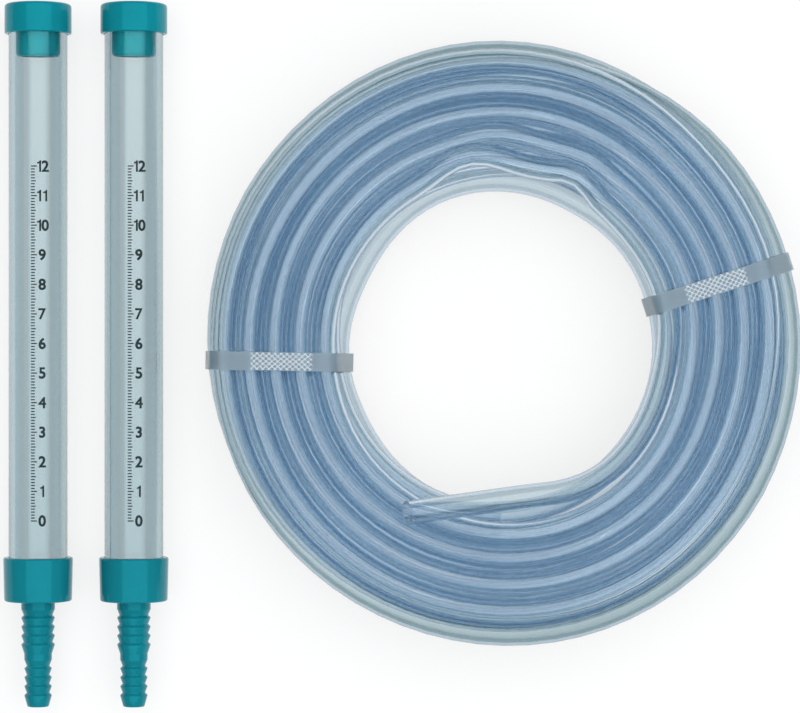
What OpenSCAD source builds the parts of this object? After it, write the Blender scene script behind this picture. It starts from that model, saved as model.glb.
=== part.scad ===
// Water level: two graduated sight tubes with push-in stoppers and hose tails, and a tied coil of clear hose.
// Everything lies on a table. The tubes lie along Y with their stoppers at +Y, and the coil lies to their
// right. The origin is on the table, under the middle of the whole set.

/* [Sight tubes] */
// Outside diameter of the clear tube
tube_od = 20; // [16:0.5:26]
// Wall of the clear tube
tube_wall = 2; // [1:0.25:3]
// Length of tube that shows between the collar and the stopper
tube_show = 178.5; // [120:0.5:260]
// Rounding of the tube's end edges
tube_edge = 0.3; // [0.1:0.1:0.5]

/* [Stoppers] */
// Wall of the skirt that goes over the tube's rim
skirt_wall = 1.2; // [0.8:0.1:2.5]
// Length of tube that the skirt covers
skirt_grip = 8.4; // [6:0.2:14]
// Thickness of the stopper's flat top
stopper_roof = 1.8; // [1.5:0.1:4]
// Length of plug that shows below the skirt
plug_show = 8.3; // [4:0.1:14]
// Wall of the hollow plug
plug_wall = 1.6; // [1:0.1:2.5]
// Length of the seat on the plug, from the roof down
plug_seat = 5; // [3:0.5:7]
// Rounding of the stopper's outer edges
stopper_edge = 1; // [0.2:0.1:1]
// Rounding of the plug's lip
plug_edge = 1.2; // [0.5:0.1:1.5]

/* [Collars] */
// Wall of the collar round the tube, at its wide end
collar_wall = 1.75; // [1.2:0.05:3]
// Length of the collar
collar_len = 15; // [12:0.5:22]
// How much smaller the collar is at its hose end, on the radius
collar_taper = 0.35; // [0:0.05:0.8]
// Thickness of the collar's floor, under the washer
collar_floor = 3; // [2:0.25:5]
// Rounding of the collar's outer edges
collar_edge = 0.7; // [0.2:0.1:1]

/* [Seal washers] */
// Thickness of the rubber washer under the tube
washer_t = 1.5; // [1:0.25:3]
// Width of the washer's ring
washer_w = 3; // [2:0.25:5]

/* [Hose tails] */
// Diameter of the larger stage, at its neck and ribs
large_d = 11.5; // [10.5:0.1:13]
// Length of the larger stage's plain neck
large_neck = 2.7; // [1.5:0.1:5]
// Diameter of the smaller stage, at its neck and ribs
small_d = 9.4; // [8.6:0.1:10.4]
// Length of the smaller stage's plain neck
small_neck = 2; // [1.5:0.1:5]
// Ribs on each stage
ribs = 4; // [2:1:6]
// Distance from rib to rib
rib_pitch = 3.05; // [2:0.05:4]
// Height of a rib above its waist
rib_h = 0.85; // [0.4:0.05:1]
// Length of a rib's steep side
rib_rise = 0.85; // [0.4:0.05:1.2]
// Length of the slope from a neck down to its first waist
neck_slope = 2.1; // [1:0.1:4]
// Length of the slope from the larger stage down to the smaller one
stage_slope = 3.2; // [2:0.1:5]
// Length of the slope at the tip
tip_slope = 3.9; // [2:0.1:6]
// How much narrower the tip is than the waists, on the diameter
tip_drop = 0.45; // [0:0.05:0.8]
// Diameter of the water way
water_bore = 5; // [3:0.25:5.25]

/* [Hose coil] */
// Outside diameter of the hose
hose_d = 8; // [6:0.5:10]
// Gap between one turn and the next
turn_gap = 0.45; // [0.45:0.05:1.5]
// Diameter of the coil over its widest turn
coil_od = 203; // [180:1:300]
// Turns in each layer, from the inside to the outside or back
layer_turns = 5.25; // [3:0.25:5.5]
// Layers, an even number, so that both ends lie inside
layers = 4; // [2, 4]
// Angle of hose wound ahead of the first layer, or left out of it if negative
start_lead = -330; // [-345:15:45]
// Direction in which the hose ends, seen from the coil's middle
tail_end = -120; // [-165:15:180]
// How far the straight tail cuts in from the innermost turn
tail_cut = 1.8; // [1.5:0.1:6]
// Angle of the bend ahead of the straight tail, seen from the coil's middle
tail_bend = 44; // [40:1:60]
// Angle from the tail's nearest point to its end, seen from the coil's middle
tail_reach = 37; // [35:1:45]
// Length of tail in which it climbs over the innermost turn
tail_climb = 40; // [32:1:50]
// Gap between the tail's end and the turn that it lies over
tail_gap = 1.35; // [0.9:0.05:2]

/* [Tie straps] */
// Width of the band
strap_w = 6.2; // [4:0.1:8]
// Thickness of the band
strap_t = 0.6; // [0.4:0.1:1]
// Direction of the left band from the coil's middle
strap_left = 185; // [170:1:200]
// Direction of the right band from the coil's middle
strap_right = 15; // [0:1:30]
// Slant of the left band, out of that direction
strap_left_slant = -6; // [-10:1:10]
// Slant of the right band, out of that direction
strap_right_slant = 3; // [-10:1:10]

/* [Layout] */
// Gap between the two collars
gauge_gap = 9; // [2:0.5:40]
// Gap between the right collar and the coil
coil_gap = 11.7; // [2:0.1:60]
// How far the coil's middle lies towards the stoppers
coil_y = 4.5; // [-15:0.5:15]

/* [Hidden] */
$fn = 64;

// Clearances, each on the radius
skirt_gap = 0.2;
seat_gap = 0.05;
plug_gap = 0.5;
socket_gap = 0.1;
strap_gap = 0.3;
// Overrun of every cut
over = 1;
// Straight pieces in the arc of a rounded edge
arc_steps = 6;

// Heights along a gauge, from the tip of its hose tail
stage_ribs = (ribs - 1) * rib_pitch + rib_rise + neck_slope;
small_top = tip_slope + stage_ribs + small_neck;
large_foot = small_top + stage_slope;
barb_len = large_foot + stage_ribs + large_neck;
seat_z = barb_len + collar_floor;
tube_foot = seat_z + washer_t;
collar_top = barb_len + collar_len;
skirt_foot = collar_top + tube_show;
tube_top = skirt_foot + skirt_grip;
gauge_len = tube_top + stopper_roof;

// Radii of a gauge
tube_r = tube_od / 2;
bore_r = tube_r - tube_wall;
skirt_r = tube_r + skirt_gap + skirt_wall;
plug_r = bore_r - plug_gap;
collar_r = tube_r + socket_gap + collar_wall;
tip_r = small_d / 2 - rib_h - tip_drop / 2;
lie_r = max(collar_r, skirt_r);

// The hose lies in layers that spiral out and in by turns, clockwise seen from above
rings_a_turn = 24;
ring_sides = 6;
ring_angle = 360 / rings_a_turn;
half_turn = 180;
turn_pitch = hose_d + turn_gap;
hose_r = hose_d / 2;
wide_r = coil_od / 2 - hose_r;
narrow_r = wide_r - layer_turns * turn_pitch;
layer_angle = 360 * layer_turns;
route_angle = layers * layer_angle;
route_rings = round((start_lead + route_angle) / ring_angle);
route_start = tail_end + route_angle;

// The hose is flat where it lies on the table, and it rises over the bands
flat_share = 0.1;
rise_share = 1.25;
lowest_z = hose_r - flat_share * hose_d;
strap_rise = rise_share * (strap_t + strap_gap);
rise_reach = 2 * ring_angle;

// The last of the hose leaves the innermost turn in a bend, runs straight and climbs over that turn
tail_chord = narrow_r - tail_cut;
tail_from_r = narrow_r + turn_pitch * (tail_reach + tail_bend) / 360;
tail_bend_r = (tail_chord - tail_from_r * cos(tail_bend)) / (1 - cos(tail_bend));
tail_bend_at = tail_from_r - tail_bend_r;
straight_half = atan2(tail_bend_at * sin(tail_bend), tail_chord);
tail_lift = hose_d + tail_gap;
cross_share = 0.92;
tail_over = sqrt(pow(narrow_r + cross_share * turn_pitch, 2) - pow(tail_chord, 2));

function smooth_step(x) = let (u = max(0, min(1, x))) u * u * (3 - 2 * u);
function sum(list) = list * [for (item = list) 1];
function off_angle(angle, other) = abs(angle - other - 360 * round((angle - other) / 360));

// How far the hose rises over one band, in the direction seen from the coil's middle
function rise_over(direction, strap) =
    let (off = off_angle(direction, strap))
    off < rise_reach ? strap_rise * pow(cos(90 * off / rise_reach), 2) : 0;
function rise(direction) = max(rise_over(direction, strap_left), rise_over(direction, strap_right));

// Radius of the turns and height of the layers, after an angle wound so far
function spiral_r(wound) =
    let (layer = max(0, min(layers - 1, floor(wound / layer_angle))),
         turned = (wound - layer * layer_angle) / 360)
    layer % 2 == 0 ? narrow_r + turn_pitch * turned : wide_r - turn_pitch * turned;
function layers_climbed(wound) =
    sum([for (layer = [1 : layers - 1])
        smooth_step((wound - layer * layer_angle + half_turn / 2) / half_turn)]);
function tail_left(wound) = route_angle - tail_reach - wound;
function route_r(wound) =
    let (left = tail_left(wound), bent = left - tail_bend)
    left > tail_bend ? spiral_r(wound)
    : left > straight_half
        ? tail_bend_at * cos(bent) + sqrt(pow(tail_bend_r, 2) - pow(tail_bend_at * sin(bent), 2))
        : tail_chord / cos(left);
function tail_rise(wound) =
    let (left = tail_left(wound))
    left > straight_half ? 0 : tail_lift * smooth_step(1 - (tail_over + tail_chord * tan(left)) / tail_climb);
function route_point(wound) =
    let (direction = route_start - wound, r = route_r(wound),
         z = lowest_z + turn_pitch * layers_climbed(wound) + rise(direction) + tail_rise(wound))
    [r * cos(direction), r * sin(direction), z];

function ring_wound(ring) = ring * ring_angle - start_lead;
route = [for (ring = [0 : route_rings]) route_point(ring_wound(ring))];
route_directions = [for (ring = [0 : route_rings]) route_start - ring_wound(ring)];

// Least gap between turns, over the rings that lie in about the same direction one or more turns apart
least_gap = min([for (ring = [0 : route_rings], turn = [1 : layers * layer_turns], beside = [-1 : 1])
    let (other = ring + turn * rings_a_turn + beside)
    if (other <= route_rings) norm(route[ring] - route[other])]) - hose_d;

// Room inside a band: the turns that pass under it, with the flats of the turns between two rings
function rings_at(strap) =
    [for (ring = [0 : route_rings]) if (off_angle(route_directions[ring], strap) <= ring_angle) route[ring]];
function ring_reach(point) = norm([point.x, point.y]);
function strap_inner(strap) =
    min([for (point = rings_at(strap)) ring_reach(point)]) * cos(ring_angle / 2) - hose_r - strap_gap;
function strap_outer(strap) = max([for (point = rings_at(strap)) ring_reach(point)]) + hose_r + strap_gap;
function strap_top(strap) = max([for (point = rings_at(strap)) point.z]) + hose_r + strap_gap;

// How far the slanted band's room goes from its own middle, towards the coil's middle and away from it
strap_mid_r = (narrow_r + wide_r) / 2;
function strap_inwards(strap, slant) =
    let (room = strap_inner(strap),
         aside = (strap_mid_r - room) * abs(sin(slant)) + strap_w / 2 * cos(slant))
    (strap_mid_r - sqrt(pow(room, 2) - pow(aside, 2)) + strap_w / 2 * abs(sin(slant))) / cos(slant);
function strap_outwards(strap, slant) =
    (strap_outer(strap) - strap_mid_r + strap_w / 2 * abs(sin(slant))) / cos(slant);

// Reach of the tied coil to each side, and the places that follow from it
function strap_reach(strap, slant, side) =
    side * (strap_mid_r * cos(strap) + (strap_outwards(strap, slant) + strap_t) * cos(strap + slant))
    + strap_w / 2 * abs(sin(strap + slant));
coil_left = max(max([for (point = route) -point.x]) + hose_r, strap_reach(strap_left, strap_left_slant, -1));
coil_right = max(max([for (point = route) point.x]) + hose_r, strap_reach(strap_right, strap_right_slant, 1));
set_w = 2 * lie_r + gauge_gap + 2 * collar_r + coil_gap + coil_left + coil_right;
left_x = lie_r - set_w / 2;
right_x = left_x + 2 * collar_r + gauge_gap;
coil_x = set_w / 2 - coil_right;

// Points of a quarter-round edge about a centre, from one angle to another
function edge(centre, r, from, to) =
    [for (step = [0 : arc_steps])
        let (angle = from + (to - from) * step / arc_steps) centre + r * [cos(angle), sin(angle)]];

// Outline of one stage of the hose tail, from its lowest rib up to the top of its neck
function stage(foot, d, neck) =
    let (neck_foot = foot + stage_ribs)
    concat([for (rib = [0 : ribs - 1], top = [0, 1])
                [d / 2 - top * rib_h, foot + rib * rib_pitch + top * rib_rise]],
           [[d / 2, neck_foot], [d / 2, neck_foot + neck]]);

// Lays a gauge's piece, drawn upright on the tip of its hose tail, along Y at a place across the set
module lay_down(x) {
    translate([x, -gauge_len / 2, lie_r])
        rotate([-90, 0, 0])
            children();
}

// Clear tube with broken edges at both ends
module sight_tube(x) {
    color([0.72, 0.82, 0.83, 0.5])
        lay_down(x)
            rotate_extrude()
                polygon([[bore_r, tube_foot], [tube_r - tube_edge, tube_foot],
                         [tube_r, tube_foot + tube_edge], [tube_r, tube_top - tube_edge],
                         [tube_r - tube_edge, tube_top], [bore_r + tube_edge, tube_top],
                         [bore_r, tube_top - tube_edge]]);
}

// Stopper: a flat top, a skirt outside the tube and a hollow plug with its seat inside the tube
module stopper(x) {
    plug_foot = skirt_foot - plug_show;
    core_r = plug_r - plug_wall;
    seat_r = bore_r - seat_gap;
    seat_foot = tube_top - plug_seat;
    rim_r = skirt_r - stopper_edge;
    color([0.12, 0.55, 0.6])
        lay_down(x)
            rotate_extrude()
                polygon(concat([[0, tube_top], [core_r, tube_top], [core_r, plug_foot]],
                               edge([plug_r - plug_edge, plug_foot + plug_edge], plug_edge, -90, 0),
                               [[plug_r, seat_foot - plug_gap], [seat_r, seat_foot], [seat_r, tube_top],
                                [tube_r + skirt_gap, tube_top], [tube_r + skirt_gap, skirt_foot]],
                               edge([rim_r, skirt_foot + stopper_edge], stopper_edge, -90, 0),
                               edge([rim_r, gauge_len - stopper_edge], stopper_edge, 0, 90),
                               [[0, gauge_len]]));
}

// Collar and hose tail in one moulding: two ribbed stages, the socket for the tube and the water way through
module hose_barb(x) {
    hose_end_r = collar_r - collar_taper;
    socket_r = tube_r + socket_gap;
    color([0.12, 0.52, 0.6])
        lay_down(x)
            rotate_extrude()
                polygon(concat([[water_bore / 2, 0], [tip_r, 0]],
                               stage(tip_slope, small_d, small_neck),
                               stage(large_foot, large_d, large_neck),
                               edge([hose_end_r - collar_edge, barb_len + collar_edge], collar_edge, -90, 0),
                               edge([collar_r - collar_edge, collar_top - collar_edge], collar_edge, 0, 90),
                               [[socket_r, collar_top], [socket_r, seat_z], [water_bore / 2, seat_z]]));
}

// Flat rubber ring between the collar's floor and the tube
module seal_washer(x) {
    color([0.12, 0.12, 0.13])
        lay_down(x)
            translate([0, 0, seat_z])
                difference() {
                    cylinder(r = tube_r, h = washer_t);
                    translate([0, 0, -over])
                        cylinder(r = tube_r - washer_w, h = washer_t + 2 * over);
                }
}

// One unbroken length of hose, swept along its route and flat where it lies on the table
module hose_coil() {
    function heading(ring) =
        let (way = route[min(ring + 1, route_rings)] - route[max(ring - 1, 0)]) way / norm(way);
    function ring_points(ring) =
        let (ahead = heading(ring), across = cross([0, 0, 1], ahead), out = across / norm(across),
             up = cross(ahead, out), table = rise(route_directions[ring]))
        [for (side = [0 : ring_sides - 1])
            let (turn = 360 * side / ring_sides,
                 point = route[ring] + hose_r * (cos(turn) * out + sin(turn) * up))
            [point.x, point.y, max(point.z, table)]];
    points = [for (ring = [0 : route_rings]) each ring_points(ring)];
    sides = [for (ring = [0 : route_rings - 1], side = [0 : ring_sides - 1])
        let (here = ring * ring_sides, next = here + ring_sides, after = (side + 1) % ring_sides)
        each [[here + side, next + side, here + after], [here + after, next + side, next + after]]];
    last = route_rings * ring_sides;
    ends = [for (side = [1 : ring_sides - 2])
        each [[0, side, side + 1], [last, last + side + 1, last + side]]];
    echo(least_gap_between_turns = least_gap);
    color([0.6, 0.72, 0.85, 0.6])
        translate([coil_x, coil_y, 0])
            polyhedron(points = points, faces = concat(sides, ends));
}

// Rectangle from one corner to the other, with round corners
module round_rectangle(low, high, r) {
    translate([low.x + r, low.y])
        square([high.x - low.x - 2 * r, high.y - low.y]);
    translate([low.x, low.y + r])
        square([high.x - low.x, high.y - low.y - 2 * r]);
    for (x = [low.x + r, high.x - r], y = [low.y + r, high.y - r])
        translate([x, y])
            circle(r = r);
}

// Band welded into a loop round all the turns
module tie_strap(strap, slant) {
    inner = -strap_inwards(strap, slant);
    outer = strap_outwards(strap, slant);
    top = strap_top(strap);
    corner_r = hose_r + strap_gap;
    color([0.85, 0.87, 0.88, 0.8])
        translate([coil_x, coil_y, 0])
            rotate([0, 0, strap])
                translate([strap_mid_r, 0, 0])
                    rotate([90, 0, slant])
                        translate([0, 0, -strap_w / 2])
                            linear_extrude(strap_w)
                                difference() {
                                    round_rectangle([inner - strap_t, 0], [outer + strap_t, top + strap_t],
                                                    corner_r + strap_t);
                                    round_rectangle([inner, strap_t], [outer, top], corner_r);
                                }
}

sight_tube(left_x);  // sight_tube_left
stopper(left_x);  // stopper_left
hose_barb(left_x);  // hose_barb_left
seal_washer(left_x);  // seal_washer_left
sight_tube(right_x);  // sight_tube_right
stopper(right_x);  // stopper_right
hose_barb(right_x);  // hose_barb_right
seal_washer(right_x);  // seal_washer_right
hose_coil();
tie_strap(strap_left, strap_left_slant);  // tie_strap_left
tie_strap(strap_right, strap_right_slant);  // tie_strap_right
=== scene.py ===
# Water level: two graduated sight tubes with stoppers and hose tails, beside a tied coil of clear hose.
import math

import bmesh
import bpy
from mathutils import Matrix, Vector
from mathutils.geometry import convex_hull_2d


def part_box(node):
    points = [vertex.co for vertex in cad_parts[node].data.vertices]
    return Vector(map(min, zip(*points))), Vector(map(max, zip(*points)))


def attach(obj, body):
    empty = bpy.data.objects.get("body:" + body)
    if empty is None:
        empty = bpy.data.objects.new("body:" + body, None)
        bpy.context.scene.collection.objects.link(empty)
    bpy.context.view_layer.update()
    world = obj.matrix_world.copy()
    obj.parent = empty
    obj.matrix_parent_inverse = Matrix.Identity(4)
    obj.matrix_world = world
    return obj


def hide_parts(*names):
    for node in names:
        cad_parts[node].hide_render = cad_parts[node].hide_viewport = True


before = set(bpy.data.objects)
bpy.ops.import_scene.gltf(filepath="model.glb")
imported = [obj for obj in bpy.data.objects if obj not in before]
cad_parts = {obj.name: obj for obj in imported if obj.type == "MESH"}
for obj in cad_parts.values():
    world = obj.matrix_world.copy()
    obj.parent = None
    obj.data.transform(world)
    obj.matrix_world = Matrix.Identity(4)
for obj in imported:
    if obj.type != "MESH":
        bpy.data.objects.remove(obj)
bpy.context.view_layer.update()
scene = bpy.context.scene

# Studio. The set lies on a white table under one wide softbox that hangs a little to the right, in a room
# that is darker on the left. The camera hangs a metre above the printed scale and looks straight down.
camera_y = -0.0004
camera_height = 1.022
scale_height = 0.022
width_seen = 0.2704
camera_data = bpy.data.cameras.new("camera")
camera_data.lens = camera_data.sensor_width * (camera_height - scale_height) / width_seen
camera = bpy.data.objects.new("camera", camera_data)
camera.location = (0, camera_y, camera_height)
scene.collection.objects.link(camera)
scene.camera = camera
scene.view_settings.view_transform = "Standard"

# Light goes through many walls of clear hose before it reaches the table
walls_crossed = 32
scene.cycles.max_bounces = walls_crossed
scene.cycles.transmission_bounces = walls_crossed
scene.cycles.glossy_bounces = 8

softbox_w = 2.3
softbox_x = 0.25
softbox_height = 1.2
softbox_brightness = 1.5
softbox_data = bpy.data.lights.new("softbox", "AREA")
softbox_data.size = softbox_w
softbox_data.energy = softbox_brightness * math.pi * softbox_w ** 2
softbox = bpy.data.objects.new("softbox", softbox_data)
softbox.location = (softbox_x, 0, softbox_height)
softbox.visible_camera = False
scene.collection.objects.link(softbox)


def add_node(tree, kind, inputs, **settings):
    """Add a shader node: its inputs take values or other nodes' outputs, and settings are its own choices."""
    node = tree.nodes.new("ShaderNode" + kind)
    for name, value in settings.items():
        setattr(node, name, value)
    for name, value in inputs.items():
        if isinstance(value, bpy.types.NodeSocket):
            tree.links.new(value, node.inputs[name])
        else:
            node.inputs[name].default_value = value
    return node


def rays_that_see(tree):
    """One for camera, mirror and glass rays, which see the background itself, and zero for its light."""
    rays = add_node(tree, "LightPath", {}).outputs
    shiny = add_node(tree, "Math", {0: rays["Is Camera Ray"], 1: rays["Is Glossy Ray"]})
    clear = add_node(tree, "Math", {0: shiny.outputs[0], 1: rays["Is Transmission Ray"]}, use_clamp=True)
    return clear.outputs[0]


room_left = (0.16, 0.22, 0.22, 1)
room_right = (0.62, 0.62, 0.66, 1)
room_seen = (0.22, 0.3, 0.3, 1)
room = bpy.data.worlds.new("room")
room.use_nodes = True
room_tree = room.node_tree
room_side = add_node(room_tree, "SeparateXYZ", {0: add_node(room_tree, "TexCoord", {}).outputs["Generated"]})
room_share = add_node(room_tree, "MapRange", {"Value": room_side.outputs["X"], "From Min": -1, "From Max": 1})
room_light = add_node(room_tree, "Mix", {"Factor": room_share.outputs[0], "A": room_left, "B": room_right},
                      data_type="RGBA")
room_colour = add_node(room_tree, "Mix", {"Factor": rays_that_see(room_tree), "B": room_seen,
                                          "A": room_light.outputs["Result"]}, data_type="RGBA")
room_tree.links.new(room_colour.outputs["Result"], room_tree.nodes["Background"].inputs["Color"])
scene.world = room

table_w = 6
table_white = (0.9, 0.9, 0.9, 1)
table_glow = 0.75
table_shape = bmesh.new()
bmesh.ops.create_grid(table_shape, x_segments=1, y_segments=1, size=table_w / 2)
table_mesh = bpy.data.meshes.new("table")
table_shape.to_mesh(table_mesh)
table_shape.free()
table = bpy.data.objects.new("table", table_mesh)
scene.collection.objects.link(table)

table_paint = bpy.data.materials.new("white_table")
table_paint.use_nodes = True
table_tree = table_paint.node_tree
lit_white = add_node(table_tree, "BsdfDiffuse", {"Color": table_white})
seen_white = add_node(table_tree, "Emission", {"Strength": 1.0})
glow_share = add_node(table_tree, "Math", {0: rays_that_see(table_tree), 1: table_glow}, operation="MULTIPLY")
table_top = add_node(table_tree, "MixShader", {0: glow_share.outputs[0], 1: lit_white.outputs[0],
                                               2: seen_white.outputs[0]})
table_tree.links.new(table_top.outputs[0], table_tree.nodes["Material Output"].inputs["Surface"])
table_mesh.materials.append(table_paint)

# Hose. Some ten metres of clear soft vinyl hose, 8 mm outside with a 1 mm wall, extruded and wound up.
# Its turns lie in four layers that spiral out and in by turns, and it starts inside the coil.
# The last of it cuts straight across the opening and climbs over the innermost turn to its slanting end.
hose_r = 0.004
hose_wall = 0.001
turn_gap = 0.00045
turn_pitch = 2 * hose_r + turn_gap
coil_w = 0.203
wide_r = coil_w / 2 - hose_r
layers = 4
layer_turns = 5.25
narrow_r = wide_r - layer_turns * turn_pitch
layer_angle = 360 * layer_turns
route_angle = layers * layer_angle
climb_angle = 180
start_lead = -330
flat_depth = 0.0008
strap_directions = {"left": 185, "right": 15}
strap_slants = {"left": -6, "right": 3}
strap_rise = 0.001125
strap_rise_reach = 30

tail_end = -120
tail_cut = 0.0018
tail_bend = 44
tail_reach = 37
tail_climb = 0.040
tail_lift = 2 * hose_r + 0.00135
tail_cross_share = 0.92
tail_chord = narrow_r - tail_cut


def sine(angle):
    return math.sin(math.radians(angle))


def cosine(angle):
    return math.cos(math.radians(angle))


tail_from_r = narrow_r + turn_pitch * (tail_reach + tail_bend) / 360
tail_bend_r = (tail_chord - tail_from_r * cosine(tail_bend)) / (1 - cosine(tail_bend))
tail_bend_at = tail_from_r - tail_bend_r
straight_half = math.degrees(math.atan2(tail_bend_at * sine(tail_bend), tail_chord))
tail_over = math.sqrt((narrow_r + tail_cross_share * turn_pitch) ** 2 - tail_chord ** 2)


def smooth_step(share):
    share = min(1, max(0, share))
    return share * share * (3 - 2 * share)


def near_strap(direction, reach):
    """One under a strap, falling smoothly to zero at an angle to either side of it."""
    offs = [abs((direction - strap + 180) % 360 - 180) for strap in strap_directions.values()]
    return cosine(90 * min(1, min(offs) / reach)) ** 2


def table_under(direction):
    """Height of what the lowest turns lie on: the table, and the straps that pass under them."""
    return strap_rise * near_strap(direction, strap_rise_reach)


def turn_r(wound, left):
    """Radius of the hose's own line, in the spirals, in the bend ahead of the tail and in the tail."""
    if left > tail_bend:
        layer = max(0, min(layers - 1, int(wound // layer_angle)))
        turns = (wound - layer * layer_angle) / 360
        return wide_r - turn_pitch * turns if layer % 2 else narrow_r + turn_pitch * turns
    if left > straight_half:
        bent = left - tail_bend
        return tail_bend_at * cosine(bent) + math.sqrt(tail_bend_r ** 2 - (tail_bend_at * sine(bent)) ** 2)
    return tail_chord / cosine(left)


# Between the straps the layers sway apart, and the last turns hump out over their neighbours at their kinks.
# A hump is the angle left to wind at its middle, its reach to either side, and how far it goes out and up.
strap_grip = 40
settled_from = 60
settled_to = 10
layer_sway = ((1, 0.0009, 20), (2, 0.0007, 130), (3, 0.0005, 250))
layer_shift = 77
turn_wander = ((1.37, 0.00025, 0), (0.61, 0.0002, 57))
turn_lift = 0.0003
turn_lift_rate = 1.73
humps = ((184, 20, 0.0035, 0.004), (149, 13, 0.0025, 0.004),
         (536, 16, 0.0015, 0.003), (508, 11, 0.001, 0.002))
oval_y = 1.02
cut_slant = 0.4
cut_reach = hose_r * 1.1


def waves(angle, terms):
    return sum(height * sine(rate * angle + shift) for rate, height, shift in terms)


def hose_point(wound):
    """Place of the hose's own line after an angle wound so far, seen from the coil's middle."""
    direction = tail_end + route_angle - wound
    left = route_angle - tail_reach - wound
    climbed = sum(smooth_step((wound - layer * layer_angle + climb_angle / 2) / climb_angle)
                  for layer in range(1, layers))
    slack = (1 - near_strap(direction, strap_grip)) * smooth_step((left + settled_to) / settled_from)
    lower = min(int(climbed), layers - 2)
    sways = [waves(direction + layer_shift * layer, layer_sway) for layer in (lower, lower + 1)]
    sway = sways[0] + (sways[1] - sways[0]) * (climbed - lower)
    r = turn_r(wound, left) + slack * (sway + waves(wound, turn_wander))
    z = hose_r - flat_depth + turn_pitch * climbed + table_under(direction)
    for hump_left, reach, out, up in humps:
        hump = cosine(90 * min(1, abs(left - hump_left) / reach)) ** 2
        r += out * hump
        z += up * hump
    z += slack * turn_lift * (1 + sine(turn_lift_rate * wound)) * climbed
    if left < straight_half:
        z += tail_lift * smooth_step(1 - (tail_over + tail_chord * math.tan(math.radians(left))) / tail_climb)
    return Vector((r * cosine(direction), oval_y * r * sine(direction), z))


rings_a_turn = 72
hose_rings = round((start_lead + route_angle) * rings_a_turn / 360)
ring_winds = [ring * 360 / rings_a_turn - start_lead for ring in range(hose_rings + 1)]


def plain_reach(along):
    """How far the middle of the neat turns reaches, along X for cosine and along Y for sine."""
    return max(turn_r(wound, route_angle - tail_reach - wound) * along(tail_end + route_angle - wound)
               for wound in ring_winds)


coil_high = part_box("hose_coil")[1]
coil_middle = Vector((coil_high[0] - plain_reach(cosine) - hose_r,
                      coil_high[1] - plain_reach(sine) - hose_r, 0))
hose_line = [coil_middle + hose_point(wound) for wound in ring_winds]

hose_curve = bpy.data.curves.new("hose_line", "CURVE")
hose_curve.dimensions = "3D"
hose_curve.bevel_depth = hose_r
hose_curve.bevel_resolution = 6
hose_spline = hose_curve.splines.new("POLY")
hose_spline.points.add(len(hose_line) - 1)
for point, place in zip(hose_spline.points, hose_line):
    point.co = (*place, 1)


def made_mesh(name, data, thickness=0.0):
    """Turn a curve, text or mesh into a plain mesh, with a wall of this thickness inside its surface."""
    holder = bpy.data.objects.new(name, data)
    scene.collection.objects.link(holder)
    if thickness:
        wall = holder.modifiers.new("wall", "SOLIDIFY")
        wall.thickness = thickness
        wall.offset = -1
    made = bpy.data.meshes.new_from_object(holder.evaluated_get(bpy.context.evaluated_depsgraph_get()))
    bpy.data.objects.remove(holder)
    made.name = name
    made.materials.clear()
    return made


def add_piece(name, mesh, material, smooth_angle=40):
    """Show a finished mesh as a piece at the origin, smooth apart from edges sharper than this angle."""
    mesh.shade_smooth()
    mesh.set_sharp_from_angle(angle=math.radians(smooth_angle))
    mesh.materials.append(material)
    piece = bpy.data.objects.new(name, mesh)
    scene.collection.objects.link(piece)
    return piece


hose_skin = made_mesh("hose_skin", hose_curve)
end_ahead = (hose_line[-1] - hose_line[-2]).normalized()
for vertex in hose_skin.vertices:
    if (vertex.co - hose_line[-1]).length < cut_reach:
        vertex.co -= cut_slant * (vertex.co.z - hose_line[-1].z) * end_ahead
    from_middle = vertex.co - coil_middle
    lowest = table_under(math.degrees(math.atan2(from_middle.y, from_middle.x)))
    vertex.co.z = max(vertex.co.z, lowest)


def new_group(name, inputs, outputs):
    """Start a shader node group with named inputs and outputs, each given with its kind of socket."""
    group = bpy.data.node_groups.new(name, "ShaderNodeTree")
    for socket, kind in inputs.items():
        group.interface.new_socket(socket, in_out="INPUT", socket_type="NodeSocket" + kind)
    for socket, kind in outputs.items():
        group.interface.new_socket(socket, in_out="OUTPUT", socket_type="NodeSocket" + kind)
    return group, group.nodes.new("NodeGroupInput").outputs, group.nodes.new("NodeGroupOutput").inputs


# Faint lines left by the extruder's die, and a haze that comes and goes, for both clear plastics
clear_skin, taken, given = new_group("clear_skin", {"Vector": "Vector", "Polish": "Float", "Haze": "Float"},
                                     {"Roughness": "Float", "Height": "Float"})
die_lines = add_node(clear_skin, "TexNoise", {"Vector": taken["Vector"], "Scale": 1.0, "Detail": 3.0})
haze = add_node(clear_skin, "TexNoise", {"Vector": taken["Vector"], "Scale": 0.31, "Detail": 2.0})
dulled = add_node(clear_skin, "Math", {0: haze.outputs["Fac"], 1: taken["Haze"], 2: taken["Polish"]},
                  operation="MULTIPLY_ADD")
clear_skin.links.new(dulled.outputs[0], given["Roughness"])
clear_skin.links.new(die_lines.outputs["Fac"], given["Height"])


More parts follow.
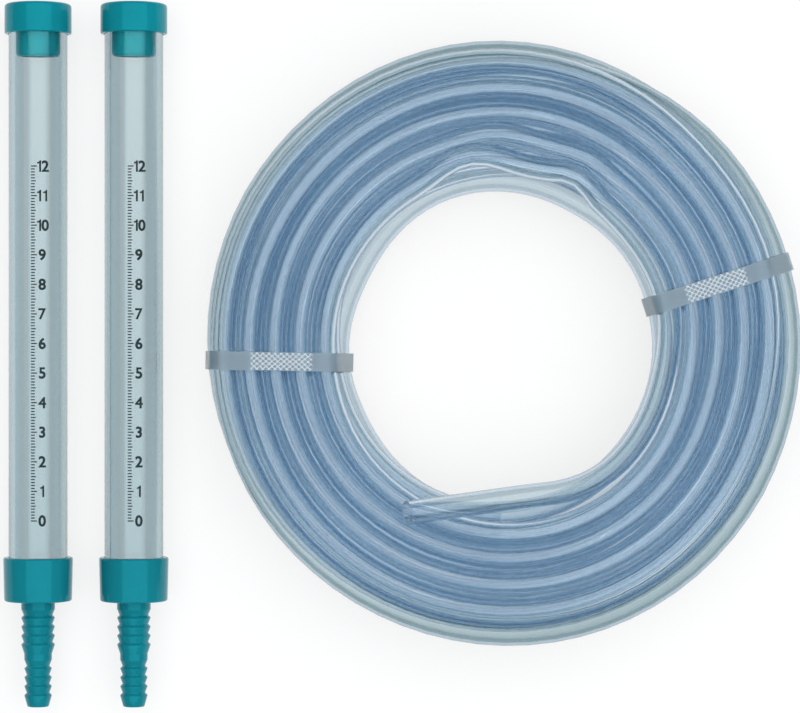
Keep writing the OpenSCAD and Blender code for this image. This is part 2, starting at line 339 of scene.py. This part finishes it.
def clear_plastic(name, index, tint, depth, shine, polish, haze, line_depth, coordinates, stretch):
    """Clear plastic that takes its colour from the depth of material that light goes through."""
    material = bpy.data.materials.new(name)
    material.use_nodes = True
    tree = material.node_tree
    surface = tree.nodes["Principled BSDF"]
    surface.inputs["Base Color"].default_value = (0.97, 0.985, 0.99, 1)
    surface.inputs["Transmission Weight"].default_value = 1.0
    surface.inputs["IOR"].default_value = index
    surface.inputs["Specular IOR Level"].default_value = shine
    places = add_node(tree, "TexCoord", {})
    stretched = add_node(tree, "Mapping", {"Vector": places.outputs[coordinates], "Scale": stretch})
    skin = add_node(tree, "Group", {}, node_tree=clear_skin)
    tree.links.new(stretched.outputs[0], skin.inputs["Vector"])
    skin.inputs["Polish"].default_value = polish
    skin.inputs["Haze"].default_value = haze
    lines = add_node(tree, "Bump", {"Height": skin.outputs["Height"], "Strength": 0.3,
                                    "Distance": line_depth})
    tree.links.new(skin.outputs["Roughness"], surface.inputs["Roughness"])
    tree.links.new(lines.outputs[0], surface.inputs["Normal"])
    soaked = add_node(tree, "VolumeAbsorption", {"Color": tint, "Density": depth})
    tree.links.new(soaked.outputs[0], tree.nodes["Material Output"].inputs["Volume"])
    return material


hose_vinyl = clear_plastic("clear_hose", index=1.53, tint=(0.37, 0.57, 0.74, 1), depth=270, shine=1.0,
                           polish=0.0, haze=0.01, line_depth=0.000002,
                           coordinates="UV", stretch=(90, 18, 1))

# Painted shade: the turns at the rim get a darker, greyer base colour that stands in for shade. The turns
# round the opening get a slightly darker base colour too.
opening_dark_span = (0.055, 0.061)
rim_shade_span = (0.0935, 0.099)
plain_vinyl = (0.97, 0.985, 0.99, 1)
opening_dark_vinyl = (0.87, 0.9, 0.9, 1)
rim_painted_shade = (0.64, 0.71, 0.71, 1)
vinyl_tree = hose_vinyl.node_tree
vinyl_place = add_node(vinyl_tree, "VectorMath", {0: add_node(vinyl_tree, "TexCoord", {}).outputs["Object"],
                                                  1: coil_middle}, operation="SUBTRACT")
vinyl_flat = add_node(vinyl_tree, "VectorMath", {0: vinyl_place.outputs[0], 1: (1, 1, 0)},
                      operation="MULTIPLY")
vinyl_r = add_node(vinyl_tree, "VectorMath", {0: vinyl_flat.outputs[0]}, operation="LENGTH")
in_rim_shade = add_node(vinyl_tree, "MapRange", {"Value": vinyl_r.outputs["Value"], "From Min": rim_shade_span[0],
                                           "From Max": rim_shade_span[1]})
# Slightly darker base colour towards the opening
at_opening = add_node(vinyl_tree, "MapRange", {"Value": vinyl_r.outputs["Value"],
                                               "From Min": opening_dark_span[1], "From Max": opening_dark_span[0]})
inner_tone = add_node(vinyl_tree, "Mix", {"Factor": at_opening.outputs[0], "A": plain_vinyl,
                                          "B": opening_dark_vinyl}, data_type="RGBA")
# Painted shade at the rim, mixed over the tone at the opening
vinyl_tone_and_shade = add_node(vinyl_tree, "Mix", {"Factor": in_rim_shade.outputs[0], "A": inner_tone.outputs["Result"],
                                          "B": rim_painted_shade}, data_type="RGBA")
vinyl_tree.links.new(vinyl_tone_and_shade.outputs["Result"], vinyl_tree.nodes["Principled BSDF"].inputs["Base Color"])


def frosted_plastic(name, colour, clear):
    """Matt or cloudy plastic, with its colour and the share of light that goes through it."""
    material = bpy.data.materials.new(name)
    material.use_nodes = True
    tree = material.node_tree
    surface = tree.nodes["Principled BSDF"]
    surface.inputs["Transmission Weight"].default_value = clear
    surface.inputs["IOR"].default_value = 1.49
    places = add_node(tree, "TexCoord", {})
    cloud = add_node(tree, "TexNoise", {"Vector": places.outputs["Object"], "Scale": 420.0, "Detail": 4.0})
    clouded = [0.9 * part for part in colour[:3]] + [1]
    tone = add_node(tree, "Mix", {"Factor": cloud.outputs["Fac"], "A": colour, "B": clouded},
                    data_type="RGBA")
    rough = add_node(tree, "Math", {0: cloud.outputs["Fac"], 1: 0.25, 2: 0.22}, operation="MULTIPLY_ADD")
    grain = add_node(tree, "Bump", {"Height": cloud.outputs["Fac"], "Strength": 0.4, "Distance": 0.00008})
    tree.links.new(tone.outputs["Result"], surface.inputs["Base Color"])
    tree.links.new(rough.outputs[0], surface.inputs["Roughness"])
    tree.links.new(grain.outputs[0], surface.inputs["Normal"])
    return material


# The knife has left both ends matt
end_reach = hose_r * 1.2
end_facing = 0.6
cut_vinyl = frosted_plastic("cut_vinyl", (0.34, 0.45, 0.52, 1), 0.0)
hose_mesh = made_mesh("hose", hose_skin, hose_wall)
hose = add_piece("hose", hose_mesh, hose_vinyl)
hose_mesh.materials.append(cut_vinyl)
for end, inside in ((hose_line[0], hose_line[1]), (hose_line[-1], hose_line[-2])):
    along = (inside - end).normalized()
    for face in hose_mesh.polygons:
        if (face.center - end).length < end_reach and abs(face.normal.dot(along)) > end_facing:
            face.material_index = 1
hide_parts("hose_coil")
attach(hose, "coil")

# Tie straps. Each is a strip of frosted polypropylene strapping, 6.2 mm wide, pulled tight round the turns
# and welded to itself. It is embossed with small diamonds, which the weld has pressed flat at its overlap.
strap_w = 0.0062
strap_t = 0.0006
strap_gap = 0.0001
strap_corner = hose_r + strap_gap + strap_t
strap_middle_r = (narrow_r + wide_r) / 2
diamond_l = 0.002
diamond_w = 0.0017
diamond_h = 0.00012
strap_cell = 0.00018
ridge_start = 0.5
ridge_slope = 0.4
plain_edge = 0.0004
top_facing = 0.9
top_fade = 0.1
flat_inner_share = 0.22
flat_inner_fade = 0.08
flat_outer_share = 0.31
flat_outer_fade = 0.04
whitened_lift = 0.45


def strap_place(side):
    """Middle of a strap on the table, and its directions along and across."""
    direction = strap_directions[side]
    along = direction + strap_slants[side]
    middle = coil_middle + strap_middle_r * Vector((cosine(direction), sine(direction), 0))
    return middle, Vector((cosine(along), sine(along), 0)), Vector((-sine(along), cosine(along), 0))


def held_places(middle, forward, sideways):
    """Where the hose crosses both edges and the middle of a strap, as distance along it and height."""
    places = []
    for edge in (-strap_w / 2, 0, strap_w / 2):
        for here, ahead in zip(hose_line, hose_line[1:]):
            off = (here - middle).dot(sideways) - edge
            off_ahead = (ahead - middle).dot(sideways) - edge
            if off * off_ahead <= 0 and abs((here - middle).dot(forward)) < strap_middle_r / 2:
                place = here.lerp(ahead, off / (off - off_ahead))
                places.append(Vector(((place - middle).dot(forward), place.z)))
    return places


def loop_corners(places):
    """The tight loop as its corners in turn: the hose there, the angles of its bend and the run after it."""
    outer = [places[index] for index in convex_hull_2d(places)]
    corners = []
    for index, corner in enumerate(outer):
        before = corner - outer[index - 1]
        after = outer[(index + 1) % len(outer)] - corner
        start = math.degrees(math.atan2(-before.x, before.y))
        bend = (math.degrees(math.atan2(-after.x, after.y)) - start) % 360
        corners.append((corner, start, bend, after.length))
    return corners


def loop_place(travelled, corners):
    """Place and outward direction on the loop's outside, as distance along the strap and height."""
    for corner, start, bend, run in corners:
        arc = strap_corner * math.radians(bend)
        bent = min(travelled, arc)
        ahead = min(travelled - bent, run)
        if travelled <= arc + run:
            break
        travelled -= arc + run
    angle = start + math.degrees(bent / strap_corner)
    out = Vector((cosine(angle), sine(angle)))
    return corner + strap_corner * out + ahead * Vector((-out.y, out.x)), out


def strap_mesh(side):
    """A fine flat strip, embossed, then bent round the loop and joined where its ends meet."""
    middle, forward, sideways = strap_place(side)
    corners = loop_corners(held_places(middle, forward, sideways))
    loop = sum(strap_corner * math.radians(bend) + run for corner, start, bend, run in corners)
    near = min(corner[0].x for corner in corners) - strap_corner
    far = max(corner[0].x for corner in corners) + strap_corner
    strip = bmesh.new()
    bmesh.ops.create_grid(strip, x_segments=round(loop / strap_cell), y_segments=round(strap_w / strap_cell),
                          size=0.5)
    embossed = strip.verts.layers.float.new("embossed")
    for vertex in strip.verts:
        travelled = (vertex.co.x + 0.5) * loop
        across = vertex.co.y * strap_w
        place, out = loop_place(travelled, corners)
        share = (place.x - near) / (far - near)
        mask = (smooth_step((out.y - top_facing) / top_fade)
                * smooth_step((strap_w / 2 - abs(across)) / plain_edge)
                * smooth_step((share - flat_inner_share) / flat_inner_fade)
                * smooth_step((1 - flat_outer_share - share) / flat_outer_fade))
        rows = [math.cos(2 * math.pi * (travelled / diamond_l + lean * across / diamond_w))
                for lean in (1, -1)]
        vertex[embossed] = mask * smooth_step((max(rows) - ridge_start) / ridge_slope)
        place = place + vertex[embossed] * diamond_h * out
        vertex.co = middle + place.x * forward + across * sideways + Vector((0, 0, max(place.y, 0)))
    bmesh.ops.remove_doubles(strip, verts=strip.verts[:], dist=strap_cell / 20)
    bmesh.ops.recalc_face_normals(strip, faces=strip.faces[:])
    mesh = bpy.data.meshes.new("strap_strip")
    strip.to_mesh(mesh)
    strip.free()
    return made_mesh(f"strap_{side}", mesh, strap_t)


strap_plain = frosted_plastic("strap_plain", (0.59, 0.72, 0.8, 1), 0.8)
strap_whitened = frosted_plastic("strap_whitened", (0.75, 0.82, 0.87, 1), 0.35)
for side in strap_directions:
    strap = add_piece(f"strap_{side}", strap_mesh(side), strap_plain)
    strap.data.materials.append(strap_whitened)
    raised = strap.data.attributes["embossed"].data
    for face in strap.data.polygons:
        lift = sum(raised[vertex].value for vertex in face.vertices) / len(face.vertices)
        face.material_index = int(lift > whitened_lift)
    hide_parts(f"tie_strap_{side}")
    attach(strap, "coil")

# Sight tubes. Each is a length of clear rigid tube, 20 mm outside with a 2 mm wall, cut square with its edges
# broken. Its foot stands on a washer in the collar, and the stopper closes its top.
tube_wall = 0.002
tube_edge = 0.0003
spin_steps = 128
edge_steps = 4
weld_gap = 0.000001


def rounded(corners):
    """Points of an outline of (radius, height, rounding) corners, each rounded by a short curve."""
    points = []
    for index, (radius, height, rounding) in enumerate(corners):
        corner = Vector((radius, height))
        if rounding == 0:
            points.append(corner)
            continue
        previous = corners[index - 1]
        following = corners[(index + 1) % len(corners)]
        before = Vector(previous[:2]) - corner
        after = Vector(following[:2]) - corner
        start = corner + before.normalized() * min(rounding, before.length - previous[2])
        end = corner + after.normalized() * min(rounding, after.length - following[2])
        for step in range(edge_steps + 1):
            share = step / edge_steps
            points.append(start.lerp(corner, share).lerp(corner.lerp(end, share), share))
    return points


def turned(name, corners, middle, foot, closed=True):
    """Spin an outline round a gauge's axis, which runs along Y from a foot."""
    shape = bmesh.new()
    ring = [shape.verts.new((middle.x + point.x, foot + point.y, middle.z)) for point in rounded(corners)]
    for here, ahead in zip(ring, ring[1:] + ring[:1] if closed else ring[1:]):
        shape.edges.new((here, ahead))
    bmesh.ops.spin(shape, geom=shape.verts[:] + shape.edges[:], cent=middle, axis=(0, 1, 0),
                   angle=2 * math.pi, steps=spin_steps, use_merge=True)
    bmesh.ops.remove_doubles(shape, verts=shape.verts[:], dist=weld_gap)
    bmesh.ops.recalc_face_normals(shape, faces=shape.faces[:])
    mesh = bpy.data.meshes.new(name)
    shape.to_mesh(mesh)
    shape.free()
    return mesh


tube_plastic = clear_plastic("clear_tube", index=1.49, tint=(0.38, 0.52, 0.55, 1), depth=175, shine=0.5,
                             polish=0.0, haze=0.02, line_depth=0.0000003,
                             coordinates="Object", stretch=(900, 12, 900))
gauge_middles = {}
for side in ("left", "right"):
    tube_low, tube_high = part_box(f"sight_tube_{side}")
    gauge_middles[side] = Vector(((tube_low[0] + tube_high[0]) / 2, 0, (tube_low[2] + tube_high[2]) / 2))
    tube_r = (tube_high[0] - tube_low[0]) / 2
    tube_len = tube_high[1] - tube_low[1]
    tube_corners = ((tube_r - tube_wall, 0, tube_edge), (tube_r, 0, tube_edge), (tube_r, tube_len, tube_edge),
                    (tube_r - tube_wall, tube_len, tube_edge))
    tube_mesh = turned("tube", tube_corners, gauge_middles[side], tube_low[1])
    tube = add_piece(f"tube_{side}", tube_mesh, tube_plastic)
    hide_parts(f"sight_tube_{side}")
    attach(tube, f"{side}_gauge")

# Painted light and shade: each tube's base colour is clear in a band along its middle, a painted band of
# light that fades towards the tube's foot, and grey at its sides as painted shade.
band_inner = 0.0028
band_outer = 0.0046
band_foot_share = 0.4
tube_shine = (0.45, 0.9, 1, 1)
tube_painted_light = (1, 1, 1, 1)
tube_painted_shade = (0.79, 0.86, 0.885, 1)
between_x = (gauge_middles["left"].x + gauge_middles["right"].x) / 2
tube_tree = tube_plastic.node_tree
tube_surface = tube_tree.nodes["Principled BSDF"]
tube_surface.inputs["Specular Tint"].default_value = tube_shine
tube_place = add_node(tube_tree, "SeparateXYZ", {0: add_node(tube_tree, "TexCoord", {}).outputs["Object"]})
off_between = add_node(tube_tree, "Math", {0: tube_place.outputs["X"], 1: between_x}, operation="SUBTRACT")
side_of = add_node(tube_tree, "Math", {0: off_between.outputs[0]}, operation="ABSOLUTE")
off_axis = add_node(tube_tree, "Math", {0: side_of.outputs[0], 1: gauge_middles["right"].x - between_x},
                    operation="SUBTRACT")
off_middle = add_node(tube_tree, "Math", {0: off_axis.outputs[0]}, operation="ABSOLUTE")
in_light_band = add_node(tube_tree, "MapRange", {"Value": off_middle.outputs[0], "From Min": band_outer,
                                           "From Max": band_inner}, interpolation_type="SMOOTHSTEP")
up_tube = add_node(tube_tree, "MapRange", {"Value": tube_place.outputs["Y"], "From Min": tube_low[1],
                                           "From Max": tube_high[1], "To Min": band_foot_share})
band = add_node(tube_tree, "Math", {0: in_light_band.outputs[0], 1: up_tube.outputs[0]}, operation="MULTIPLY")
# Painted light along the middle of each tube, painted shade at its sides
tube_light_and_shade = add_node(tube_tree, "Mix", {"Factor": band.outputs[0], "A": tube_painted_shade, "B": tube_painted_light},
                     data_type="RGBA")
tube_tree.links.new(tube_light_and_shade.outputs["Result"], tube_surface.inputs["Base Color"])

# Hose tails and collars. Each is one glossy moulding of teal plastic: a collar with a socket for the tube,
# and below it a tail with two sizes of ribs, so that either of two hoses can be pushed on.
rib_edge = 0.00018
rib_count = 4
rib_pitch = 0.00305
rib_h = 0.00085
rib_rise = 0.00085
neck_slope = 0.0021
stage_ribs = (rib_count - 1) * rib_pitch + rib_rise + neck_slope
small_r = 0.0047
small_foot = 0.0039
small_neck = 0.002
large_r = 0.00575
large_foot = 0.0212
large_neck = 0.0027
tip_drop = 0.000225
tip_r = small_r - rib_h - tip_drop
way_r = 0.0025
collar_foot = large_foot + stage_ribs + large_neck
collar_floor = 0.003
collar_seat = collar_foot + collar_floor
collar_taper = 0.00035
collar_edge = 0.0008
socket_gap = 0.0001
socket_r = tube_r + socket_gap


def stage_corners(foot, stage_r, neck):
    """One size of the tail: sharp ribs with a steep side towards the tip, then its plain neck."""
    corners = []
    for rib in range(rib_count):
        corners.append((stage_r, foot + rib * rib_pitch, rib_edge))
        corners.append((stage_r - rib_h, foot + rib * rib_pitch + rib_rise, rib_edge))
    return corners + [(stage_r, foot + stage_ribs, rib_edge), (stage_r, foot + stage_ribs + neck, rib_edge)]


# Moulded skin for both teal mouldings: a slightly uneven colour, and a fine grain from the polished mould
moulded_skin, taken, given = new_group("moulded_skin",
                                       {"Vector": "Vector", "Colour": "Color", "Shade": "Color"},
                                       {"Colour": "Color", "Roughness": "Float", "Height": "Float"})
mottle = add_node(moulded_skin, "TexNoise", {"Vector": taken["Vector"], "Scale": 110.0, "Detail": 5.0,
                                             "Roughness": 0.6})
grain = add_node(moulded_skin, "TexNoise", {"Vector": taken["Vector"], "Scale": 2600.0, "Detail": 2.0})
uneven = add_node(moulded_skin, "MapRange", {"Value": mottle.outputs["Fac"], "From Min": 0.35,
                                             "From Max": 0.7})
toned = add_node(moulded_skin, "Mix", {"Factor": uneven.outputs[0], "A": taken["Colour"],
                                       "B": taken["Shade"]}, data_type="RGBA")
gloss_least = 0.1
gloss_spread = 0.1
gloss = add_node(moulded_skin, "Math", {0: mottle.outputs["Fac"], 1: gloss_spread, 2: gloss_least},
                 operation="MULTIPLY_ADD")
moulded_skin.links.new(toned.outputs["Result"], given["Colour"])
moulded_skin.links.new(gloss.outputs[0], given["Roughness"])
moulded_skin.links.new(grain.outputs["Fac"], given["Height"])


def teal_plastic(name, colour, shade):
    """Opaque teal plastic, whose shine keeps the colour of the plastic as it does in strong soft light."""
    material = bpy.data.materials.new(name)
    material.use_nodes = True
    tree = material.node_tree
    surface = tree.nodes["Principled BSDF"]
    surface.inputs["IOR"].default_value = 1.49
    surface.inputs["Specular Tint"].default_value = (0.08, 0.85, 1, 1)
    skin = add_node(tree, "Group", {}, node_tree=moulded_skin)
    tree.links.new(add_node(tree, "TexCoord", {}).outputs["Object"], skin.inputs["Vector"])
    skin.inputs["Colour"].default_value = colour
    skin.inputs["Shade"].default_value = shade
    fine = add_node(tree, "Bump", {"Height": skin.outputs["Height"], "Strength": 0.15, "Distance": 0.00003})
    tree.links.new(skin.outputs["Colour"], surface.inputs["Base Color"])
    tree.links.new(skin.outputs["Roughness"], surface.inputs["Roughness"])
    tree.links.new(fine.outputs[0], surface.inputs["Normal"])
    return material


barb_teal = teal_plastic("teal_fitting", (0.006, 0.19, 0.235, 1), (0.006, 0.17, 0.215, 1))
for side, middle in gauge_middles.items():
    barb_low, barb_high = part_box(f"hose_barb_{side}")
    collar_r = (barb_high[0] - barb_low[0]) / 2
    collar_top = barb_high[1] - barb_low[1]
    barb_corners = ([(way_r, 0, rib_edge), (tip_r, 0, 2 * rib_edge)]
                    + stage_corners(small_foot, small_r, small_neck)
                    + stage_corners(large_foot, large_r, large_neck)
                    + [(collar_r - collar_taper, collar_foot, collar_edge),
                       (collar_r, collar_top, collar_edge), (socket_r, collar_top, rib_edge),
                       (socket_r, collar_seat, 0), (way_r, collar_seat, rib_edge)])
    barb = add_piece(f"barb_{side}", turned("barb", barb_corners, middle, barb_low[1]), barb_teal)
    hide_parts(f"hose_barb_{side}")
    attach(barb, f"{side}_gauge")

# Seal washers. Each is a flat ring punched from black rubber sheet, and lies on the collar's seat under
# the tube. It keeps its solid from the frame.
washer_rubber = bpy.data.materials.new("washer_rubber")
washer_rubber.use_nodes = True
washer_tree = washer_rubber.node_tree
washer_surface = washer_tree.nodes["Principled BSDF"]
washer_places = add_node(washer_tree, "TexCoord", {})
washer_bloom = add_node(washer_tree, "TexNoise", {"Vector": washer_places.outputs["Object"], "Scale": 700.0,
                                                  "Detail": 4.0})
washer_black = (0.012, 0.012, 0.013, 1)
washer_grey = (0.035, 0.035, 0.036, 1)
washer_tone = add_node(washer_tree, "Mix", {"Factor": washer_bloom.outputs["Fac"], "A": washer_black,
                                            "B": washer_grey}, data_type="RGBA")
washer_dull = add_node(washer_tree, "Math", {0: washer_bloom.outputs["Fac"], 1: 0.2, 2: 0.6},
                       operation="MULTIPLY_ADD")
washer_tree.links.new(washer_tone.outputs["Result"], washer_surface.inputs["Base Color"])
washer_tree.links.new(washer_dull.outputs[0], washer_surface.inputs["Roughness"])
for side in gauge_middles:
    washer_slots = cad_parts[f"seal_washer_{side}"].data.materials
    washer_slots.clear()
    washer_slots.append(washer_rubber)

# Scale. Dark green-black ink printed on the upper side of each tube, a little to the right as the tube is
# turned: a line for every millimetre, longer at five and ten, and the centimetres from 0 at the collar to 12.
scale_cm = 12
scale_from_collar = 0.01285
ink_t = 0.00004
ink_gap = 0.00001
line_w = 0.0004
line_start = -0.0012
line_ends = {10: 0.0008, 5: 0.0004, 1: 0.0001}
figure_h = 0.0039
figure_middle = 0.0026
figure_step_share = 0.53
figure_weight = 0.034
one_shares = ((0.18, 0), (0.35, 0), (0.35, 1), (0.22, 1), (0.17, 0.89), (0, 0.84), (0, 0.71), (0.18, 0.73))
figure_weld = 0.0001
bend_cell = 0.0004
bend_cuts = range(-4, 16)


def heavy_figure(digit):
    """A digit of the plain typeface, with its outlines pushed outwards to make it heavier."""
    figure = bpy.data.curves.new("figure", "FONT")
    figure.body = digit
    shape = bmesh.new()
    shape.from_mesh(made_mesh("figure", figure))
    bmesh.ops.remove_doubles(shape, verts=shape.verts[:], dist=figure_weld)
    pushes = {}
    for edge in shape.edges:
        if not edge.is_boundary:
            continue
        loop = edge.link_loops[0]
        ahead = loop.link_loop_next.vert.co - loop.vert.co
        for vertex in edge.verts:
            pushes[vertex] = pushes.get(vertex, Vector()) + Vector((ahead.y, -ahead.x, 0)).normalized()
    for vertex, push in pushes.items():
        vertex.co += figure_weight * push.normalized()
    return shape


def figure_one():
    """A one with a flag, drawn as shares of its height."""
    shape = bmesh.new()
    outline = shape.faces.new([shape.verts.new((x, y, 0)) for x, y in one_shares])
    outline.normal_update()
    bmesh.ops.triangulate(shape, faces=[outline])
    return shape


def add_figure(print_shape, digit, x, y):
    """Print one digit with its middle at a place on the flat scale."""
    shape = figure_one() if digit == "1" else heavy_figure(digit)
    low = Vector(min(vertex.co[axis] for vertex in shape.verts) for axis in range(3))
    high = Vector(max(vertex.co[axis] for vertex in shape.verts) for axis in range(3))
    middle = Matrix.Translation((low + high) / -2)
    size = Matrix.Scale(figure_h / (high.y - low.y), 4)
    bmesh.ops.transform(shape, matrix=Matrix.Translation((x, y, 0)) @ size @ middle, verts=shape.verts[:])
    figure = bpy.data.meshes.new("figure")
    shape.to_mesh(figure)
    shape.free()
    print_shape.from_mesh(figure)


def scale_mesh(middle, zero):
    """Draw the scale flat, cut it into narrow strips and bend it round the tube."""
    print_shape = bmesh.new()
    for mark in range(10 * scale_cm + 1):
        end = next(end for every, end in line_ends.items() if mark % every == 0)
        place = Matrix.Translation(((line_start + end) / 2, zero + mark / 1000, 0))
        bmesh.ops.create_grid(print_shape, x_segments=1, y_segments=1, size=0.5,
                              matrix=place @ Matrix.Diagonal((end - line_start, line_w, 1, 1)))
    for number in range(scale_cm + 1):
        digits = str(number)
        for index, digit in enumerate(digits):
            steps = index - (len(digits) - 1) / 2
            add_figure(print_shape, digit, figure_middle + steps * figure_step_share * figure_h,
                       zero + number / 100)
    for cut in bend_cuts:
        everything = print_shape.verts[:] + print_shape.edges[:] + print_shape.faces[:]
        bmesh.ops.bisect_plane(print_shape, geom=everything, plane_co=(cut * bend_cell, 0, 0),
                               plane_no=(1, 0, 0))
    bmesh.ops.remove_doubles(print_shape, verts=print_shape.verts[:], dist=weld_gap)
    ink_r = tube_r + ink_gap + ink_t
    for vertex in print_shape.verts:
        angle = vertex.co.x / ink_r
        vertex.co = middle + Vector((ink_r * math.sin(angle), vertex.co.y, ink_r * math.cos(angle)))
    bmesh.ops.recalc_face_normals(print_shape, faces=print_shape.faces[:])
    mesh = bpy.data.meshes.new("scale_skin")
    print_shape.to_mesh(mesh)
    print_shape.free()
    return made_mesh("scale", mesh, ink_t)


scale_ink = bpy.data.materials.new("scale_ink")
scale_ink.use_nodes = True
ink_tree = scale_ink.node_tree
ink_surface = ink_tree.nodes["Principled BSDF"]
ink_places = add_node(ink_tree, "TexCoord", {})
ink_wear = add_node(ink_tree, "TexNoise", {"Vector": ink_places.outputs["Object"], "Scale": 1500.0,
                                           "Detail": 3.0})
ink_fresh = (0.008, 0.02, 0.022, 1)
ink_worn = (0.03, 0.05, 0.052, 1)
ink_tone = add_node(ink_tree, "Mix", {"Factor": ink_wear.outputs["Fac"], "A": ink_fresh, "B": ink_worn},
                    data_type="RGBA")
ink_tree.links.new(ink_tone.outputs["Result"], ink_surface.inputs["Base Color"])
ink_surface.inputs["Roughness"].default_value = 0.6
ink_surface.inputs["Specular IOR Level"].default_value = 0.1
for side, middle in gauge_middles.items():
    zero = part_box(f"hose_barb_{side}")[1][1] + scale_from_collar
    scale_print = add_piece(f"scale_{side}", scale_mesh(middle, zero), scale_ink)
    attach(scale_print, f"{side}_gauge")

# Stoppers. Each is one moulding of teal plastic: a flat top, a skirt over the tube's rim and a hollow plug
# that seals inside the tube. It is pushed in by hand and pulled out to fill the level.
# The plug's teal is much paler than the rest: painted light, standing in for the light that reaches it
# through the tube.
skirt_wall = 0.0012
stopper_roof = 0.0018
skirt_grip = 0.0084
plug_gap = 0.0005
plug_wall = 0.0016
seat_gap = 0.00005
seat_len = 0.005
stopper_edge = 0.0013
skirt_edge = 0.0006
plug_edge = 0.0018
lip_edge = 0.0002
stopper_teal = teal_plastic("teal_stopper", (0.004, 0.215, 0.262, 1), (0.004, 0.195, 0.24, 1))
# Painted light: the plug inside the tube gets a much paler teal
plug_painted_light_teal = teal_plastic("teal_plug_painted_light", (0.008, 0.6, 0.68, 1), (0.008, 0.56, 0.64, 1))
for side, middle in gauge_middles.items():
    stopper_low, stopper_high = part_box(f"stopper_{side}")
    skirt_r = (stopper_high[0] - stopper_low[0]) / 2
    top = stopper_high[1] - stopper_low[1]
    roof_foot = top - stopper_roof
    skirt_foot = roof_foot - skirt_grip
    plug_r = tube_r - tube_wall - plug_gap
    seat_r = tube_r - tube_wall - seat_gap
    stopper_corners = ((0, roof_foot, 0), (plug_r - plug_wall, roof_foot, 0),
                       (plug_r - plug_wall, 0, lip_edge), (plug_r, 0, plug_edge),
                       (plug_r, roof_foot - seat_len - plug_gap, 0),
                       (seat_r, roof_foot - seat_len, 0), (seat_r, roof_foot, 0),
                       (skirt_r - skirt_wall, roof_foot, 0), (skirt_r - skirt_wall, skirt_foot, 0),
                       (skirt_r, skirt_foot, skirt_edge), (skirt_r, top, stopper_edge), (0, top, 0))
    stopper_mesh = turned("stopper", stopper_corners, middle, stopper_low[1], closed=False)
    stopper = add_piece(f"cap_{side}", stopper_mesh, stopper_teal)
    stopper_mesh.materials.append(plug_painted_light_teal)
    # Faces below the skirt's foot, the plug, take the painted-light teal
    for face in stopper_mesh.polygons:
        face.material_index = int(face.center.y < stopper_low[1] + skirt_foot)
    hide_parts(f"stopper_{side}")
    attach(stopper, f"{side}_stopper")
